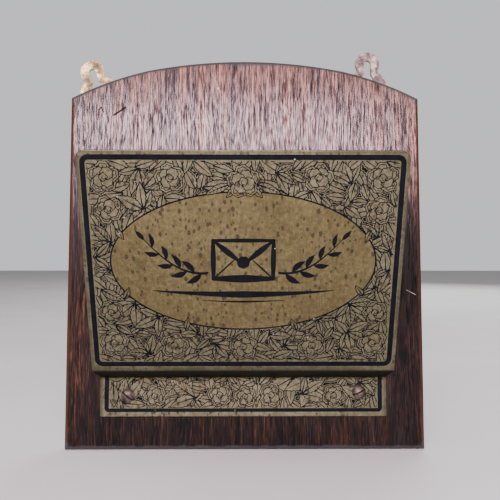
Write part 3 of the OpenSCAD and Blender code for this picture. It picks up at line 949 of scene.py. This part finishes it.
# One rose and a few leaf tips lie over the oval's line
for p, q, turn, length, width, bend, veins in (
        (-7.0, 110.5, 196, 15.0, 4.6, 0.12, True), (7.0, 110.5, -14, 15.0, 4.6, -0.12, True),
        (-4.0, 109.0, 228, 8.0, 3.6, 0.0, False), (5.0, 108.6, -44, 8.0, 3.6, 0.0, False)):
    plate_drawing.leaf(p, q, math.radians(turn), length, width, bend, veins)
plate_drawing.rose(0.0, 112.0, 8.6, 0.4)
for p, q, turn in ((-71.0, 86.0, -62), (71.5, 85.0, 242), (-68.5, 44.0, 60), (69.0, 46.0, 122),
                   (-34.0, 25.0, 70), (31.0, 24.5, 108)):
    plate_drawing.leaf(p, q, math.radians(turn), 8.0, 3.4, 0.1)


# ---- Emblem ----------------------------------------------------------------
# A plain sealed envelope between two leafy sprigs marks what the rack is for.
# It is in the same black enamel, in brush-like strokes that swell and taper.
def swelling(count, thin, thick, peak=0.5):
    """Half widths along a stroke: thin at both ends and thick at the peak."""
    way = np.linspace(0, 1, count)
    skew = way ** (math.log(0.5) / math.log(peak))
    return thin + (thick - thin) * np.sin(math.pi * skew) ** 1.4


def draw_line(start, end, thin, thick):
    """A straight stroke between two places."""
    way = np.linspace(0, 1, 61)
    plate_drawing.stroke(start[0] + (end[0] - start[0]) * way, start[1] + (end[1] - start[1]) * way,
                         swelling(61, thin, thick))


def draw_spray(start, end, sag, pairs):
    """A leafy sprig on each side: a stem that sags below the line between its ends by a half sine, with pairs
    of pointed leaves that shrink towards its tip, and one leaf at the tip."""
    way = np.linspace(0, 1, 120)
    stem_p = start[0] + (end[0] - start[0]) * way
    stem_q = start[1] + (end[1] - start[1]) * way ** 1.3 - sag * np.sin(math.pi * way)
    slope = np.arctan2(np.gradient(stem_q), np.gradient(stem_p))
    for side in (-1, 1):
        plate_drawing.stroke(side * stem_p, stem_q, 0.75 - 0.5 * way)
        for index in range(2 * pairs + 1):
            share = 0.10 + 0.88 * index / (2 * pairs)
            base = min(int(share * 119), 119)
            hand = 0.0 if index == 2 * pairs else (1.0 if index % 2 else -1.0)
            length = 11.5 - 3.5 * share
            step = np.linspace(0, 1, 40)
            angle = slope[base] + hand * (0.95 - 0.75 * step)
            plate_drawing.stroke(side * (stem_p[base] + np.cumsum(np.cos(angle)) * length / 40),
                                 stem_q[base] + np.cumsum(np.sin(angle)) * length / 40,
                                 swelling(40, 0.10, 0.155 * length, 0.45))


ENVELOPE_P, ENVELOPE_LOW, ENVELOPE_HIGH = 17.0, 56.5, 79.0
FLAP_TIP = (1.0, 65.8)
FOLD_TIP = (5.4, 67.4)
SEAL_Q, SEAL_RADIUS = 66.2, 1.9
draw_line((-ENVELOPE_P, ENVELOPE_HIGH), (ENVELOPE_P, ENVELOPE_HIGH), 0.9, 1.2)
draw_line((-ENVELOPE_P, ENVELOPE_LOW), (ENVELOPE_P, ENVELOPE_LOW), 1.2, 2.3)
for side in (-1, 1):
    upper_corner = (side * ENVELOPE_P, ENVELOPE_HIGH)
    lower_corner = (side * ENVELOPE_P, ENVELOPE_LOW)
    draw_line(lower_corner, upper_corner, 1.0, 1.5)
    draw_line(upper_corner, (side * FLAP_TIP[0], FLAP_TIP[1]), 0.5, 1.7)
    draw_line(lower_corner, (side * FOLD_TIP[0], FOLD_TIP[1]), 0.3, 0.5)
seal_turn = np.linspace(0, 2 * math.pi, 60)
seal_reach = SEAL_RADIUS + 0.25 * np.sin(7 * seal_turn)
plate_drawing.stroke(seal_reach * np.cos(seal_turn), SEAL_Q + seal_reach * np.sin(seal_turn),
                     np.full(60, 1.6))

draw_spray((20.5, 60.0), (56.0, 80.0), 4.2, 4)
rule = np.linspace(-1, 1, 400)
plate_drawing.stroke(52 * rule, 47.0 + 2.4 * rule ** 2, 0.15 + 1.9 * (1 - np.abs(rule)) ** 0.8)
plate_drawing.stroke(24 * rule, 42.6 + 0.9 * rule ** 2, 0.12 + 0.5 * (1 - np.abs(rule)))

for name, p_from, p_to, q_from, q_to in (
        ("enamel_upper_left", -85, -28, 88, 124), ("enamel_upper_middle", -28, 28, 88, 124),
        ("enamel_upper_right", 28, 85, 88, 124), ("enamel_left", -85, -60, 38, 88),
        ("enamel_emblem", -60, 60, 38, 88), ("enamel_right", 60, 85, 38, 88),
        ("enamel_lower_left", -85, -28, 4.5, 38), ("enamel_lower_middle", -28, 28, 4.5, 38),
        ("enamel_lower_right", 28, 85, 4.5, 38)):
    plate_drawing.film(name, on_plate, p_from, p_to, q_from, q_to)


# ---- Enamel on the flange --------------------------------------------------
# The flange carries a strip of the same leaves and roses, inside its border.
FLANGE_GROUND = (84.4, 5.5, 26.0)
flange_drawing = Drawing(-84.9, 84.9, 5.0, 26.2)


def on_flange_ground(p, q):
    """True well inside the flange's border band."""
    return inside_band(p, q, 83.5, 6.4, 24.8) > 0


flange_roses = [(-15.0, 13.6, 7.2), (1.0, 12.4, 6.6), (17.5, 13.4, 7.4), (-56.0, 12.8, 7.0),
                (57.0, 13.0, 7.0)]
taken = [(p, q, 3.0) for p, q, _ in flange_roses]
for p, q in scatter(chance, 3000, (-83, 83), (6, 25), on_flange_ground, 11.5, taken):
    spray(flange_drawing, chance, p, q, on_flange_ground,
          chance.choice([0.0, math.pi]) + chance.uniform(-0.5, 0.5), 1.3)
for p, q, radius in flange_roses:
    flange_drawing.rose(p, q, radius, chance.uniform(0, 2))
grid_p, grid_q = np.meshgrid(flange_drawing.p_axis, flange_drawing.q_axis)
ground = inside_band(grid_p, grid_q, *FLANGE_GROUND)
fill_gaps(flange_drawing, ground, chance)
infill(flange_drawing, ground, chance, 10)
flange_drawing.film("enamel_flange_left", on_flange, -84.8, 0, 5, 26.1)
flange_drawing.film("enamel_flange_right", on_flange, 0, 84.8, 5, 26.1)


# ---- Flange screws ---------------------------------------------------------
# Two domed brass wood screws with a sawn slot hold the flange to the board.
# They have gone a dull brown, and their slots are painted nearly black as painted shade.
SLOT_TURNS = {"left": math.radians(-38), "right": math.radians(25)}
SLOT_HALF_WIDTH = 0.55 * MM

browned_screw, tree, shader = new_material("browned_screw")
browning = grouped(tree, tarnish, {"Vector": placed(tree), "Scale": 260.0, "Level": 0.5, "Softness": 0.16})
screw_colour = ramp(tree, browning["Cloud"], (0.34, paint(50, 42, 38)), (0.52, paint(88, 76, 68)),
                    (0.68, paint(122, 106, 94)))
slot_gap = 1.0
for side, turn in SLOT_TURNS.items():
    corners = np.array(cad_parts["flange_screw_" + side].bound_box)
    head = (corners.min(axis=0) + corners.max(axis=0)) / 2
    gap = component(tree, placed(tree), (-math.sin(turn), 0, math.cos(turn)), head)
    slot_gap = sums(tree, "MINIMUM", slot_gap, sums(tree, "ABSOLUTE", gap))
# Painted shade: the slots are painted nearly black where the recess would be dark
slot_shade = spread(tree, slot_gap, SLOT_HALF_WIDTH + 0.07 * MM, SLOT_HALF_WIDTH - 0.07 * MM)
screw_colour = mixed(tree, times(tree, slot_shade, 0.9), screw_colour, paint(12, 8, 7))
give(tree, shader, {"Base Color": screw_colour, "Metallic": 0.7,
                    "Roughness": spread(tree, browning["Cloud"], 0.3, 0.7, 0.70, 0.55),
                    "Normal": bumped(tree, browning["Cloud"], 0.5, 0.15 * MM)})

for side in ("left", "right"):
    dome = cad_copy("flange_screw_" + side, "domed_screw_" + side, 0.12 * MM, browned_screw)


# ---- Hangers ---------------------------------------------------------------
# Two cast brass keyhole plates are let into the back and stand up above the
# arch. The left one is creamier, and the right one greyer.
def cast_brass(name, dark, middle, light):
    """Dull cast brass in three tones, pitted and blotched."""
    material, tree, shader = new_material(name)
    blotch = grouped(tree, tarnish, {"Vector": placed(tree), "Scale": 190.0, "Level": 0.5, "Softness": 0.14})
    colour = ramp(tree, blotch["Cloud"], (0.34, dark), (0.5, middle), (0.64, light))
    pits = grouped(tree, dust_flecks, {"Vector": placed(tree), "Scale": 700.0, "Size": 0.5, "Share": 0.22})
    colour = mixed(tree, times(tree, pits["Mask"], 0.5), colour, dark)
    height = weighed(tree, pits["Mask"], -0.6, blotch["Cloud"])
    give(tree, shader, {"Base Color": colour,
                        "Roughness": spread(tree, blotch["Cloud"], 0.3, 0.7, 0.62, 0.40),
                        "Metallic": spread(tree, blotch["Cloud"], 0.3, 0.6, 0.45, 0.80),
                        "Normal": bumped(tree, height, 0.5, 0.2 * MM)})
    return material


cream_brass = cast_brass("cream_brass", paint(86, 66, 48), paint(136, 118, 80), paint(184, 168, 118))
grey_brass = cast_brass("grey_brass", paint(58, 46, 44), paint(98, 82, 78), paint(140, 122, 116))
for side, metal in (("left", cream_brass), ("right", grey_brass)):
    plate = cad_copy("hanger_" + side, "keyhole_plate_" + side, 0.25 * MM, metal)


# ---- Hanger screws ---------------------------------------------------------
# Four small countersunk steel screws hold the keyhole plates. They are seen
# only from behind, and are dull with a little rust in the slots.
steel_screw, tree, shader = new_material("steel_screw")
rust = grouped(tree, tarnish, {"Vector": placed(tree), "Scale": 420.0, "Level": 0.56, "Softness": 0.08})
give(tree, shader, {"Base Color": mixed(tree, rust["Mask"], paint(122, 120, 118), paint(84, 56, 40)),
                    "Roughness": spread(tree, rust["Mask"], 0.0, 1.0, 0.38, 0.75),
                    "Metallic": spread(tree, rust["Mask"], 0.0, 1.0, 0.95, 0.2)})
for place_name in ("left_outer", "left_inner", "right_inner", "right_outer"):
    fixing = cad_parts["hanger_screw_" + place_name]
    fixing.data.materials.clear()
    fixing.data.materials.append(steel_screw)
